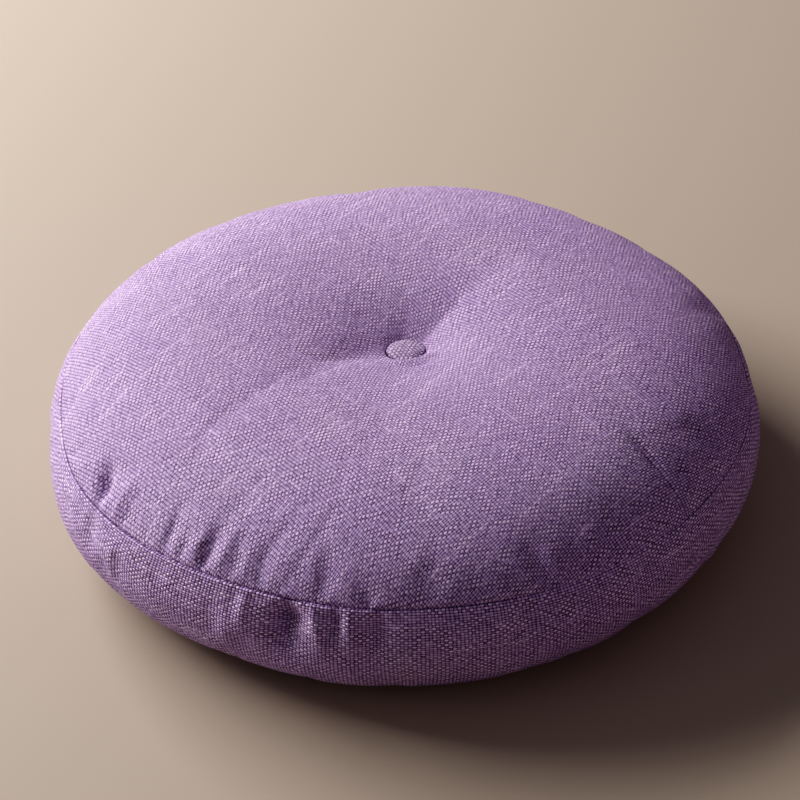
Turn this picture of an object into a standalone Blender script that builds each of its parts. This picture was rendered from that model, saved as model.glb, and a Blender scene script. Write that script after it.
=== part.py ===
"""A round boxed floor cushion with one covered tuft button.

The cover is a crowned top panel, a bulging side band and a flat bottom panel, sewn into one filled
body. A domed, cloth-covered button is pulled into the top panel. Metres, +Z up, origin on the floor
under the middle of the cushion, its front towards -Y. Azimuths are degrees round +Z from +X.
"""

import math
from collections import namedtuple

import bmesh
import bpy
import numpy as np

# Overall size
DIAMETER = 0.460
CROWN_HEIGHT = 0.119
CROWN_RADIUS = 0.104  # the top panel is highest on this circle, round the tuft
WIDEST_HEIGHT = 0.050
CONTACT_RADIUS = 0.160  # the flat patch that rests on the floor

# Fullness of the section's two quarters, as a superellipse's power: 2 is round, more is boxier
UNDERSIDE_FULLNESS = 2.2
SHOULDER_FULLNESS = 2.1

# The two sewn circles, and how far they draw the cover in
TOP_SEAM_HEIGHT = 0.0785
TOP_SEAM_WAVE = 0.0025  # the seam rides higher at the front and back than at the sides
TOP_SEAM_TILT = 0.0015  # and sinks from left to right
BOTTOM_SEAM_HEIGHT = 0.006
SEAM_LIP = 0.003
SEAM_DRAW = 0.0025

# The tuft: a cone that starts at the crown circle, and a close pocket round the button
TUFT_CENTRE = (0.0034, 0.0055)
TUFT_SHIFT_REACH = 0.150  # the rings of the top panel lean towards the tuft inside this radius
TUFT_DEPTH = 0.022
TUFT_POWER = 2.0
POCKET_DEPTH = 0.006
POCKET_RADIUS = 0.018
SEAT_TILT = 5  # degrees that the button and its seat lean back

# The covered button
BUTTON_RADIUS = 0.0125
BUTTON_BACK_RADIUS = 0.0098
BUTTON_EDGE_HEIGHT = 0.0032
BUTTON_HEIGHT = 0.0068
SEAT_MARGIN = 0.0011  # the pocket's flat floor reaches this far past the button
CLEARANCE = 0.0003

# How finely the cover and the button are divided
CURVE_STEPS = 240
SEGMENTS = 144
SEGMENT_CROWDING = 0.42  # segments crowd towards the gathered side by this share
GATHERED_AZIMUTH = -122
BAND_RINGS = 5
SHOULDER_RINGS = 9
TUFT_RINGS = 7
RING_EASE = 1.35
BUTTON_SEGMENTS = 32
BUTTON_DOME_STEPS = 6
BUTTON_EDGE_STEPS = 3

# Cloth
LAVENDER = (0.30, 0.19, 0.44, 1.0)
BUTTON_LAVENDER = (0.32, 0.21, 0.46, 1.0)
CLOTH_ROUGHNESS = 0.9

RADIUS = DIAMETER / 2
SEAT_RADIUS = BUTTON_RADIUS + SEAT_MARGIN
QUARTER_TURN = math.pi / 2
ABOVE, BELOW = 1, -1

# How far the outline seen from above stands out of round: waves round the cushion, how far out each
# one reaches and the azimuth of one of its peaks
Wave = namedtuple("Wave", "count bulge peak")
PLAN_WAVES = (
    Wave(2, 0.0004, 28),
    Wave(3, 0.0005, 38),
    Wave(5, 0.0013, -1),
    Wave(6, 0.0007, 22),
    Wave(7, 0.0003, 25),
    Wave(8, 0.0007, -14),
    Wave(12, 0.0003, -10),
)

# Gathers at the top seam, on the top panel (ABOVE) or on the side band (BELOW). A gather starts on
# the seam at its azimuth and has leaned by its lean, in degrees, where it dies out.
Gather = namedtuple("Gather", "azimuth lean side length width depth")
GATHERS = (
    Gather(-147.2, -4.5, ABOVE, 0.032, 0.0065, 0.0048),
    Gather(-142.0, 0.0, ABOVE, 0.018, 0.0050, 0.0012),
    Gather(-131.3, -1.5, ABOVE, 0.032, 0.0045, 0.0018),
    Gather(-124.3, 1.2, ABOVE, 0.046, 0.0058, 0.0050),
    Gather(-119.0, 0.0, ABOVE, 0.036, 0.0045, 0.0028),
    Gather(-113.4, -0.5, ABOVE, 0.030, 0.0045, 0.0022),
    Gather(-103.4, 0.5, ABOVE, 0.034, 0.0055, 0.0014),
    Gather(-65.8, -2.5, ABOVE, 0.034, 0.0060, 0.0016),
    Gather(-39.0, 5.0, ABOVE, 0.085, 0.0085, 0.0022),
    Gather(-148.5, 1.0, BELOW, 0.036, 0.0080, 0.0020),
    Gather(-110.5, 0.0, BELOW, 0.048, 0.0110, 0.0034),
    Gather(-101.8, 0.5, BELOW, 0.034, 0.0050, 0.0026),
    Gather(-96.0, -1.0, BELOW, 0.040, 0.0070, 0.0028),
    Gather(14.0, 3.0, ABOVE, 0.040, 0.0110, 0.0022),
    Gather(52.0, -2.0, ABOVE, 0.034, 0.0100, 0.0020),
    Gather(97.0, 2.0, ABOVE, 0.042, 0.0120, 0.0024),
    Gather(141.0, -3.0, ABOVE, 0.036, 0.0100, 0.0026),
    Gather(70.0, 0.0, BELOW, 0.036, 0.0110, 0.0020),
    Gather(124.0, 1.0, BELOW, 0.034, 0.0100, 0.0022),
)

# Creases that run out of the tuft: the bearing where each leaves the button, and how far it bends
Crease = namedtuple("Crease", "bearing bend reach width depth")
TUFT_CREASES = (
    Crease(47, 3, 0.090, 0.0100, 0.0042),
    Crease(190, 34, 0.095, 0.0095, 0.0050),
    Crease(138, 4, 0.070, 0.0110, 0.0020),
)


def ease(share):
    """A smooth step from 0 to 1 as share goes from 0 to 1."""
    share = min(max(share, 0.0), 1.0)
    return share * share * (3 - 2 * share)


def bell(distance, width):
    return math.exp(-((distance / width) ** 2))


def degrees_apart(first, second):
    return (first - second + 180) % 360 - 180


def spaced(start, end, count, power=1.0):
    """Count places after start that reach end; a power above 1 crowds them towards start."""
    return [start + (end - start) * ((step + 1) / count) ** power for step in range(count)]


def superellipse(turn, fullness):
    return math.cos(turn) ** (2 / fullness), math.sin(turn) ** (2 / fullness)


class Section:
    """The cover's smooth section from the floor contact up to the crown, by its own arc length."""

    def __init__(self):
        turns = [QUARTER_TURN * step / CURVE_STEPS for step in range(CURVE_STEPS + 1)]
        points = []
        for turn in turns:
            inward, up = superellipse(turn, UNDERSIDE_FULLNESS)
            radius = CONTACT_RADIUS + (RADIUS - CONTACT_RADIUS) * up
            points.append((radius, WIDEST_HEIGHT * (1 - inward)))
        for turn in turns[1:]:
            outward, up = superellipse(turn, SHOULDER_FULLNESS)
            radius = CROWN_RADIUS + (RADIUS - CROWN_RADIUS) * outward
            points.append((radius, WIDEST_HEIGHT + (CROWN_HEIGHT - WIDEST_HEIGHT) * up))
        self.radii, self.heights = np.array(points).T
        steps = np.hypot(np.diff(self.radii), np.diff(self.heights))
        self.arcs = np.concatenate([[0.0], np.cumsum(steps)])
        self.length = float(self.arcs[-1])

    def point(self, arc):
        radius = float(np.interp(arc, self.arcs, self.radii))
        return radius, float(np.interp(arc, self.arcs, self.heights))

    def outward(self, arc, reach=0.001):
        """The unit normal of the section, as its parts away from the axis and up."""
        (low_radius, low), (high_radius, high) = self.point(arc - reach), self.point(arc + reach)
        length = math.hypot(high_radius - low_radius, high - low)
        return (high - low) / length, (low_radius - high_radius) / length

    def arc_at(self, height):
        return float(np.interp(height, self.heights, self.arcs))


def top_seam_height(azimuth):
    turn = math.radians(azimuth)
    return TOP_SEAM_HEIGHT - TOP_SEAM_WAVE * math.cos(2 * turn) - TOP_SEAM_TILT * math.cos(turn)


def ring_arcs(section, azimuth):
    """Arc lengths of the rings from the contact circle to the crown, closest at the two seams."""
    bottom_seam = section.arc_at(BOTTOM_SEAM_HEIGHT)
    top_seam = section.arc_at(top_seam_height(azimuth))
    arcs = [0.0, bottom_seam - SEAM_LIP, bottom_seam, bottom_seam + SEAM_LIP]
    arcs += spaced(bottom_seam + SEAM_LIP, top_seam - SEAM_LIP, BAND_RINGS)
    arcs += [top_seam, top_seam + SEAM_LIP]
    return arcs + spaced(top_seam + SEAM_LIP, section.length, SHOULDER_RINGS, RING_EASE)


def tuft_radii():
    """Radii of the rings inside the crown circle, down the pocket's wall to the button's seat."""
    cone = spaced(POCKET_RADIUS, CROWN_RADIUS, TUFT_RINGS, RING_EASE)
    return cone[-2::-1] + [POCKET_RADIUS, (POCKET_RADIUS + SEAT_RADIUS) / 2, SEAT_RADIUS]


def gather_offset(azimuth, past_seam):
    """How far the gathers push the cover in, at a distance past the top seam."""
    offset = 0.0
    for gather in GATHERS:
        along = gather.side * past_seam / gather.length
        if not 0 <= along < 1:
            continue
        centre = gather.azimuth + gather.lean * along
        across = math.radians(degrees_apart(azimuth, centre)) * RADIUS
        rise = 0.5 + 0.5 * ease(along * gather.length / SEAM_LIP)
        offset -= gather.depth * rise * (1 - along) * bell(across, gather.width)
    return offset


def plan_offset(azimuth, radius):
    """How far the outline stands out of round, fading towards the crown and the floor contact."""
    bulge = sum(
        wave.bulge * math.cos(math.radians(wave.count * (azimuth - wave.peak)))
        for wave in PLAN_WAVES
    )
    return bulge * ease((radius - CONTACT_RADIUS) / (RADIUS - CONTACT_RADIUS))


def seam_offset(section, arc, azimuth):
    """The groove along both sewn circles."""
    top = arc - section.arc_at(top_seam_height(azimuth))
    bottom = arc - section.arc_at(BOTTOM_SEAM_HEIGHT)
    return -SEAM_DRAW * (bell(top, SEAM_LIP) + bell(bottom, SEAM_LIP) / 2)


def tuft_depth(x, y):
    """How deep the button pulls the top panel down at a place, with its creases."""
    back = y - TUFT_CENTRE[1]
    distance = max(math.hypot(x - TUFT_CENTRE[0], back), SEAT_RADIUS)
    out_of_pocket = ease((distance - SEAT_RADIUS) / (POCKET_RADIUS - SEAT_RADIUS))
    depth = TUFT_DEPTH * max(1 - distance / CROWN_RADIUS, 0.0) ** TUFT_POWER
    depth += (POCKET_DEPTH + back * math.tan(math.radians(SEAT_TILT))) * (1 - out_of_pocket)
    bearing = math.degrees(math.atan2(back, x - TUFT_CENTRE[0]))
    for crease in TUFT_CREASES:
        along = (distance - SEAT_RADIUS) / crease.reach
        if along >= 1:
            continue
        turned = degrees_apart(bearing, crease.bearing + crease.bend * along)
        fold = bell(math.radians(turned) * distance, crease.width)
        depth += crease.depth * out_of_pocket * (1 - along) * fold
    return depth


def cover_ring(section, azimuth):
    """Every ring's (radius, height) at one azimuth, from the bottom's middle to the button's seat."""
    ring = [(0.0, 0.0), (CONTACT_RADIUS / 2, 0.0)]
    top_seam = section.arc_at(top_seam_height(azimuth))
    for arc in ring_arcs(section, azimuth):
        radius, height = section.point(arc)
        if arc > 0:
            out, up = section.outward(arc)
            push = seam_offset(section, arc, azimuth) + gather_offset(azimuth, arc - top_seam)
            radius += out * push + plan_offset(azimuth, radius)
            height += up * push
        ring.append((radius, height))
    ring += [(radius, CROWN_HEIGHT) for radius in tuft_radii()]
    return ring + [(0.0, CROWN_HEIGHT)]


def cover_azimuth(turn):
    """The azimuth of a segment, with the segments crowded towards the gathered side."""
    return turn - math.degrees(SEGMENT_CROWDING * math.sin(math.radians(turn - GATHERED_AZIMUTH)))


def place(radius, height, azimuth):
    """A point of the cover in space, with its ring leaning towards the tuft and the tuft pulled in."""
    lean = 1 - ease(radius / TUFT_SHIFT_REACH)
    x = radius * math.cos(math.radians(azimuth)) + TUFT_CENTRE[0] * lean
    y = radius * math.sin(math.radians(azimuth)) + TUFT_CENTRE[1] * lean
    if height > WIDEST_HEIGHT:
        height -= tuft_depth(x, y)
    return x, y, height


def make_cover(collection, material):
    """The filled cover: a ball primitive whose rings and segments are moved onto the section."""
    section = Section()
    profiles = [cover_ring(section, cover_azimuth(360 * k / SEGMENTS)) for k in range(SEGMENTS)]
    rings = len(profiles[0])
    work = bmesh.new()
    bmesh.ops.create_uvsphere(work, u_segments=SEGMENTS, v_segments=rings - 1, radius=1.0)
    for vertex in work.verts:
        from_bottom = math.acos(max(-1.0, min(1.0, -vertex.co.z)))
        ring = round(from_bottom / math.pi * (rings - 1))
        segment = round(math.atan2(vertex.co.y, vertex.co.x) / math.tau * SEGMENTS) % SEGMENTS
        azimuth = cover_azimuth(360 * segment / SEGMENTS)
        vertex.co = place(*profiles[segment][ring], azimuth)
    low = [min(vertex.co[axis] for vertex in work.verts) for axis in (0, 1)]
    high = [max(vertex.co[axis] for vertex in work.verts) for axis in (0, 1)]
    middle = [(low[axis] + high[axis]) / 2 for axis in (0, 1)]
    bmesh.ops.translate(work, verts=work.verts, vec=(-middle[0], -middle[1], 0.0))
    bmesh.ops.recalc_face_normals(work, faces=work.faces)
    mesh = bpy.data.meshes.new("cushion")
    work.to_mesh(mesh)
    work.free()
    mesh.shade_smooth()
    mesh.materials.append(material)
    cover = bpy.data.objects.new("cushion", mesh)
    collection.objects.link(cover)
    return middle


def button_profile():
    """Half of the button's section, from the middle of its dome down to the middle of its back."""
    dome = BUTTON_HEIGHT - BUTTON_EDGE_HEIGHT
    points = []
    for step in range(BUTTON_DOME_STEPS + 1):
        turn = QUARTER_TURN * step / BUTTON_DOME_STEPS
        points.append((BUTTON_RADIUS * math.sin(turn), BUTTON_EDGE_HEIGHT + dome * math.cos(turn)))
    for step in range(1, BUTTON_EDGE_STEPS + 1):
        turn = QUARTER_TURN * step / BUTTON_EDGE_STEPS
        tuck = (BUTTON_RADIUS - BUTTON_BACK_RADIUS) * math.cos(turn)
        points.append((BUTTON_BACK_RADIUS + tuck, BUTTON_EDGE_HEIGHT * (1 - math.sin(turn))))
    return points + [(0.0, 0.0)]


def make_button(collection, material, middle):
    """The covered button: its half section turned round, just clear of its seat in the tuft."""
    profile = button_profile()
    mesh = bpy.data.meshes.new("button")
    edges = [(index, index + 1) for index in range(len(profile) - 1)]
    mesh.from_pydata([(radius, 0.0, height) for radius, height in profile], edges, [])
    mesh.materials.append(material)
    button = bpy.data.objects.new("button", mesh)
    turn = button.modifiers.new("turn", "SCREW")
    turn.steps = turn.render_steps = BUTTON_SEGMENTS
    turn.use_merge_vertices = True
    turn.merge_threshold = 0.00001
    turn.use_smooth_shade = True
    seat_height = CROWN_HEIGHT - tuft_depth(*TUFT_CENTRE)
    button.location = (
        TUFT_CENTRE[0] - middle[0],
        TUFT_CENTRE[1] - middle[1],
        seat_height + CLEARANCE,
    )
    button.rotation_euler.x = -math.radians(SEAT_TILT)
    collection.objects.link(button)


def cloth_material(name, colour):
    material = bpy.data.materials.new(name)
    material.use_nodes = True
    surface = material.node_tree.nodes["Principled BSDF"]
    surface.inputs["Base Color"].default_value = colour
    surface.inputs["Roughness"].default_value = CLOTH_ROUGHNESS
    surface.inputs["Metallic"].default_value = 0.0
    return material


def main():
    for old in list(bpy.data.objects):
        bpy.data.objects.remove(old, do_unlink=True)
    collection = bpy.data.collections.new("round_floor_cushion")
    bpy.context.scene.collection.children.link(collection)
    middle = make_cover(collection, cloth_material("cover_cloth", LAVENDER))
    make_button(collection, cloth_material("button_cloth", BUTTON_LAVENDER), middle)


main()
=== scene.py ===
"""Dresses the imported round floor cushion: a filled cover of slubbed lavender cloth with its sewn seam,
gathers and tuft creases, and the covered button that is pulled into it.

Metres, in the frame's own axes. Azimuths are degrees round +Z from +X.
"""

import math
from collections import namedtuple

import bpy
import numpy as np
from bpy.props import FloatProperty, FloatVectorProperty, IntProperty, PointerProperty
from mathutils import Matrix, Vector


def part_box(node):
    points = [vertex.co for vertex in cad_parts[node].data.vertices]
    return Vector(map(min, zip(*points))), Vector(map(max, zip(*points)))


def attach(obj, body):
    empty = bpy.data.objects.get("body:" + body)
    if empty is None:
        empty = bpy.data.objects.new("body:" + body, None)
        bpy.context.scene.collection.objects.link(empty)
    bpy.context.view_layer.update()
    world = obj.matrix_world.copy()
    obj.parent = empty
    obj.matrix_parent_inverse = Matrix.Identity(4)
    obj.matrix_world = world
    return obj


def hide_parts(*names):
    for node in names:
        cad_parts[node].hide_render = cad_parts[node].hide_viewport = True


bl_info = {
    "name": "Round floor cushion",
    "version": (1, 0, 0),
    "blender": (4, 5, 0),
    "location": "View3D > Sidebar > Cushion",
    "description": "Builds a tufted round floor cushion in slubbed cloth over its packed frame",
    "category": "Add Mesh",
}

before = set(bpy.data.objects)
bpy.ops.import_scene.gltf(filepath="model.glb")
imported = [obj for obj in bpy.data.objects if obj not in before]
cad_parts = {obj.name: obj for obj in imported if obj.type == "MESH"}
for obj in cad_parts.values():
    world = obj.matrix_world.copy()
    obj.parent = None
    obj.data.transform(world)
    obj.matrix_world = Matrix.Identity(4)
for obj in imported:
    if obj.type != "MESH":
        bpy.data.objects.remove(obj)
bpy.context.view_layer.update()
BUTTON_LOW, BUTTON_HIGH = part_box("button")

# The cover's section, as the frame has it
RADIUS = 0.230
CROWN_HEIGHT = 0.119
CROWN_RADIUS = 0.104
WIDEST_HEIGHT = 0.050
CONTACT_RADIUS = 0.160
UNDERSIDE_FULLNESS = 2.2
SHOULDER_FULLNESS = 2.1
TOP_SEAM_HEIGHT = 0.0785
TOP_SEAM_WAVE = 0.0025
TOP_SEAM_TILT = 0.0015
BOTTOM_SEAM_HEIGHT = 0.006
TUFT_CENTRE = (0.0034, 0.0055)
TUFT_SHIFT_REACH = 0.150
TUFT_DEPTH = 0.022
TUFT_POWER = 2.0
SEAT_DROP = 0.006
SEAT_RADIUS = 0.0126
POCKET_RADIUS = 0.0133
SEAT_TILT = 5

# The two families of yarns, and the bearing on the top panel that each is counted along, in degrees
# from +X
WARP, WEFT = 0, 1
COUNTED_ALONG = (41, 137)

# The weave. Places on the cloth are counted in yarns, unless a line says otherwise.
# How far one crossing differs from the next in lightness and in height, and one stretch of a yarn from
# the next in lightness
CROSSING_SPREAD, CROSSING_RISE, YARN_SPREAD = 0.90, 0.34, 0.10
# How much paler, thicker and higher a slub is than its yarn
SLUB_PALER, SLUB_THICKER, SLUB_HIGHER = 0.40, 0.06, 0.19
# How far a weft yarn sags between two warp yarns; the sag also deepens the painted shade there
SAG = 0.20
# How far the yarns crowd together and spread, and how fast that changes across them and along them
CROWDING, CROWDING_ACROSS, CROWDING_ALONG = 0.9, 0.17, 0.03
# How fast the balance between the two families drifts over the cloth, and how fast a yarn strays and
# comes to its slubs along its length
BALANCE_RATE, STRAY_RATE, SLUB_RATE = 0.05, 0.21, 0.035
# How far apart the noise is read for one yarn and the next and for the two families, and the slices of
# it that the crowding, the straying and the slubs read
YARN_STEP, FAMILY_STEP = 7.31, 31.7
CROWDING_SLICE, STRAY_SLICE, SLUB_SLICE = 3.0, 5.0, 9.0
# The noise's share at a yarn's thinnest and thickest, and at its darkest and palest
BODY_RANGE, TONE_RANGE = (0.32, 0.68), (0.25, 0.75)
# How far one yarn has to stand over the other to hide it, and the heights between which the painted shade
# in the gaps gives way to the yarn's colour
HIDING_HEIGHT, GAP_SHADE_RANGE = 0.06, (0.20, 0.80)
# The fibres in a yarn: how many to a metre, and how far they change its lightness and its height
FIBRE_RATE, FIBRE_SPREAD, FIBRE_RISE = 2600.0, 0.3, 0.12
# The slow drift of colour over a piece: its rate to a metre, and how far it goes either way
MOTTLE_RATE, MOTTLE_SATURATION, MOTTLE_VALUE = 14.0, 0.05, 0.03
CLOTH_ROUGHNESS, FLOOR_ROUGHNESS = 0.88, 0.7
# A yarn's height where it neither dips nor climbs, how far it dips and climbs, how far its height
# follows the drifting balance of the two families, its width at its thinnest and thickest as a share of
# its pitch, how fast that changes, how far it strays, and where the noise starts and ends its slubs
Yarn = namedtuple("Yarn", "rest sway drift thin thick unevenness stray slubs")
YARNS = (
    Yarn(0.53, -0.42, 0.20, 0.68, 1.02, 0.35, 0.22, (0.76, 0.79)),
    Yarn(0.61, 0.42, -0.14, 0.74, 1.04, 0.25, 0.20, (0.71, 0.74)),
)

# The stage
Softbox = namedtuple("Softbox", "width height distance colour")
SOFTBOXES = {
    "key": Softbox(2.2, 0.8, 2.4, (1.0, 0.97, 0.93)),
    "low": Softbox(1.4, 0.4, 2.0, (0.94, 1.0, 0.84)),
    "side": Softbox(1.4, 0.6, 2.0, (1.0, 0.72, 0.66)),
}
FILL_COLOUR = (0.94, 0.88, 1.0)
FLOOR_REACH = 12.0
# The picture's tone curve: its toe deepens the shadows and its shoulder holds back the highlights
TOE, SHOULDER = 0.08, 0.5
TONE_POINTS = tuple(
    (light, light * light / (light + TOE) * (1 + TOE) * (1 + SHOULDER) / (1 + SHOULDER * light))
    for light in (0.02, 0.05, 0.10, 0.18, 0.30, 0.45, 0.65, 0.85)
)
CAMERA_PITCH, CAMERA_ROLL, CAMERA_LENS = 38.09, -1.59, 130.74
CAMERA_PLACE = Vector((-0.0020, -1.4790, 1.2246))

QUARTER_TURN = math.pi / 2
ABOVE, BELOW = 1, -1
TOP, BAND, BOTTOM = "top", "band", "bottom"

# How far the outline seen from above stands out of round
Wave = namedtuple("Wave", "count bulge peak")
PLAN_WAVES = (
    Wave(2, 0.0004, 28),
    Wave(3, 0.0005, 38),
    Wave(5, 0.0013, -1),
    Wave(6, 0.0007, 22),
    Wave(7, 0.0003, 25),
    Wave(8, 0.0007, -14),
    Wave(12, 0.0003, -10),
)

# Folds that start at the top seam, on the top panel (ABOVE) or the side band (BELOW). A fold is deepest
# at its peak, dies out at its end and has leaned there by its lean, in degrees. A depth below nothing
# is a ridge.
Fold = namedtuple("Fold", "azimuth lean side peak end width depth")
FOLDS = (
    # the gathered side, left to right
    Fold(-148.6, -4.2, ABOVE, 0.013, 0.031, 0.0066, 0.0074),
    Fold(-144.0, -2.0, ABOVE, 0.018, 0.034, 0.0050, -0.0014),
    Fold(-141.6, 0.0, ABOVE, 0.008, 0.020, 0.0036, 0.0012),
    Fold(-131.9, -1.5, ABOVE, 0.014, 0.034, 0.0030, 0.0018),
    Fold(-129.0, 0.0, ABOVE, 0.006, 0.016, 0.0028, 0.0014),
    Fold(-127.0, 0.5, ABOVE, 0.015, 0.036, 0.0040, -0.0012),
    Fold(-124.6, 0.6, ABOVE, 0.007, 0.040, 0.0040, 0.0030),
    Fold(-121.8, 0.6, ABOVE, 0.016, 0.050, 0.0032, -0.0008),
    Fold(-119.4, 0.0, ABOVE, 0.007, 0.028, 0.0030, 0.0007),
    Fold(-117.0, -0.5, ABOVE, 0.016, 0.036, 0.0030, -0.0006),
    Fold(-116.5, 8.0, ABOVE, 0.024, 0.080, 0.0034, 0.0006),
    Fold(-114.0, -0.5, ABOVE, 0.007, 0.026, 0.0032, 0.0010),
    Fold(-110.5, 9.0, ABOVE, 0.024, 0.085, 0.0034, 0.0006),
    Fold(-104.0, 0.5, ABOVE, 0.010, 0.032, 0.0046, 0.0011),
    Fold(-96.2, 0.0, ABOVE, 0.003, 0.012, 0.0030, 0.0018),
    Fold(-67.2, -2.0, ABOVE, 0.008, 0.032, 0.0044, 0.0018),
    Fold(-64.8, -2.5, ABOVE, 0.012, 0.036, 0.0044, -0.0010),
    Fold(-39.4, 5.0, ABOVE, 0.040, 0.076, 0.0027, 0.0038),
    Fold(-20.0, -8.0, ABOVE, 0.024, 0.058, 0.0070, 0.0012),
    # under the seam
    Fold(-148.5, 1.0, BELOW, 0.012, 0.036, 0.0076, 0.0022),
    Fold(-141.5, 0.0, BELOW, 0.022, 0.044, 0.0026, -0.0008),
    Fold(-119.0, 0.5, BELOW, 0.034, 0.052, 0.0050, -0.0012),
    Fold(-116.0, 0.0, BELOW, 0.014, 0.036, 0.0046, -0.0022),
    Fold(-108.7, 0.0, BELOW, 0.012, 0.050, 0.0088, 0.0126),
    Fold(-104.9, 2.4, BELOW, 0.012, 0.042, 0.0034, -0.0024),
    Fold(-101.2, 0.5, BELOW, 0.008, 0.034, 0.0034, 0.0044),
    Fold(-98.9, -0.5, BELOW, 0.010, 0.036, 0.0028, -0.0018),
    Fold(-94.4, -1.0, BELOW, 0.012, 0.046, 0.0064, 0.0052),
    # the sides and back
    Fold(14.0, 3.0, ABOVE, 0.012, 0.040, 0.0060, 0.0008),
    Fold(19.5, 2.0, ABOVE, 0.008, 0.026, 0.0036, 0.0005),
    Fold(52.0, -2.0, ABOVE, 0.010, 0.034, 0.0056, 0.0010),
    Fold(61.0, 0.0, ABOVE, 0.006, 0.020, 0.0036, 0.0006),
    Fold(97.0, 2.0, ABOVE, 0.013, 0.042, 0.0062, 0.0034),
    Fold(102.0, 1.0, ABOVE, 0.009, 0.030, 0.0038, 0.0018),
    Fold(124.0, 0.0, ABOVE, 0.007, 0.022, 0.0036, 0.0014),
    Fold(141.0, -3.0, ABOVE, 0.011, 0.036, 0.0056, 0.0034),
    Fold(166.0, -2.0, ABOVE, 0.008, 0.026, 0.0040, 0.0016),
    Fold(70.0, 0.0, BELOW, 0.012, 0.038, 0.0066, 0.0024),
    Fold(36.0, 0.0, BELOW, 0.010, 0.032, 0.0046, 0.0018),
    Fold(124.0, 1.0, BELOW, 0.011, 0.036, 0.0060, 0.0026),
    Fold(158.0, -1.0, BELOW, 0.010, 0.030, 0.0046, 0.0018),
    Fold(-30.0, 1.0, BELOW, 0.010, 0.030, 0.0050, 0.0014),
    Fold(-72.0, 1.0, BELOW, 0.010, 0.034, 0.0052, 0.0012),
)

# The shares of its depth and its width that a fold has beside the seam, how far it widens after its peak,
# and how round its floor is: 2 is a soft bell and 1 a sharp crease
FOLD_START, FOLD_NARROW, FOLD_SPREAD, FOLD_ROUNDNESS = 0.2, 0.55, 0.5, 1.8

# Creases that run out of the tuft. Beside the button a crease has only its start share of its depth.
# Its floor is sharp where its roundness is 1 and soft where it is 2.
Crease = namedtuple("Crease", "bearing bend reach width depth start roundness")
TUFT_CREASES = (
    Crease(47, 3, 0.090, 0.0130, 0.0046, 0.9, 1.3),
    Crease(190, 34, 0.095, 0.0130, 0.0042, 0.25, 2.0),
    Crease(138, 4, 0.070, 0.0100, 0.0020, 0.6, 1.5),
    Crease(206, -4, 0.060, 0.0070, 0.0010, 0.5, 1.8),
    Crease(90, -6, 0.055, 0.0070, 0.0010, 0.8, 1.5),
)
# The share of its reach at which a crease has its whole depth
CREASE_GROWN = 0.3

# The fold of cloth that comes up over the button's front edge
LIP_BEARING, LIP_SPREAD, LIP_DISTANCE, LIP_WIDTH, LIP_HEIGHT = -78, 62, 0.0162, 0.0048, 0.0030

# Where the band stands proud under the top seam: the middle of each stretch, its reach in degrees and its
# share of the seam's lip
SEAM_LIPS = ((-136, 14, 1), (-112, 18, 1), (-33, 9, 1), (28, 20, 1), (96, 24, 1), (150, 12, 1))
# How far below the seam that lip is highest, and how far it spreads, as shares of the seam's width
SEAM_LIP_PLACE, SEAM_LIP_REACH = 0.62, 0.42

# Where the top seam lies flatter than elsewhere: the middle of each stretch, its reach in degrees and the
# share of the seam's depth that it lacks
SEAM_FLATS = ((-56, 13, 0.75), (-11, 14, 0.80), (18, 14, 0.55), (72, 15, 0.40), (170, 12, 0.40))

# The cover's mesh. Its columns crowd towards the gathered side.
COLUMN_CROWDING = 0.47
GATHERED_AZIMUTH = -122
# How many even rows there are from the middle of the floor contact up: on the contact, on the rest of the
# bottom, on the band, on the shoulder and in the dimple
FLAT_ROWS, BOTTOM_ROWS, BAND_ROWS, SHOULDER_ROWS, DIMPLE_ROWS = 9, 9, 42, 54, 42
# The usual length of the band, and of the shoulder from the top seam to the crown
BAND_LENGTH, SHOULDER_LENGTH = 0.100, 0.128
# The close rows: their distances from a sewn line, and their radii in the pocket round the button
SEAM_ROWS = (0.0003, 0.0007, 0.0012, 0.0018, 0.0025, 0.0034, 0.0045)
POCKET_ROWS = (
    0.0180, 0.0162, 0.0150, 0.0142, 0.0137, 0.0134, 0.0132, 0.0131, 0.0130, 0.0129, 0.0128, 0.0127, 0.0123
)
# The coarse cover: its rows on the contact, what its other even rows are divided by, and its close row
COARSE_FLAT_ROWS, COARSE_THINNING, COARSE_SEAM_ROWS = 5, 3, (0.004,)
# How near the section's ends its slope is read
SLOPE_INSET = 0.0012

# The cloth simulation: its columns and frames, how far the sewing holds the cloth, and the radius in which
# the button ties it down
COARSE_COLUMNS, FILLING_FRAMES, SEWN_REACH, TIED_RADIUS = 216, 20, 0.002, 0.019
# Its longest waves round the cover, which are dropped, and the radius in which the button holds the cloth
# tight, past which the puckers fade in
SLOW_WAVES, TIGHT_RADIUS, TIGHT_FADE = 4, 0.030, 0.050
# The yarns' slow straying: the wavelength and reach of each group of waves, how many waves a group has, and
# how much finer or coarser than that they may be. The band's yarns stray as round a ring of this radius.
STRAY_WAVES = ((0.130, 0.0009), (0.060, 0.0002))
STRAY_GROUP, STRAY_SHARES, STRAY_RING = 6, (0.7, 1.3), 0.02

# The button
BUTTON_BACK_RADIUS = 0.0098
BUTTON_SEGMENTS, BUTTON_RINGS = 132, 56
BUTTON_SIZES = {
    "Radius": 0.0125,
    "Back radius": BUTTON_BACK_RADIUS,
    "Height": 0.0062,
    "Edge height": 0.0036,
    "Gathers": 22.0,
    "Gather depth": 0.00022,
    "Tilt": math.radians(SEAT_TILT),
    "Warp bearing": 0.0,
    "Weft bearing": 0.0,
}
# The powers of the curves of its rim, its dome, its edge and the way in to its back
RIM_POWER, DOME_POWER, EDGE_POWER, BACK_POWER = 0.86, 0.8, 0.5, 0.6
# Where its gathers start, as a share of its radius, and how fast and how far they wander
GATHER_START, GATHER_RATE, GATHER_WANDER = 0.80, 1.6, 9.0
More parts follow.
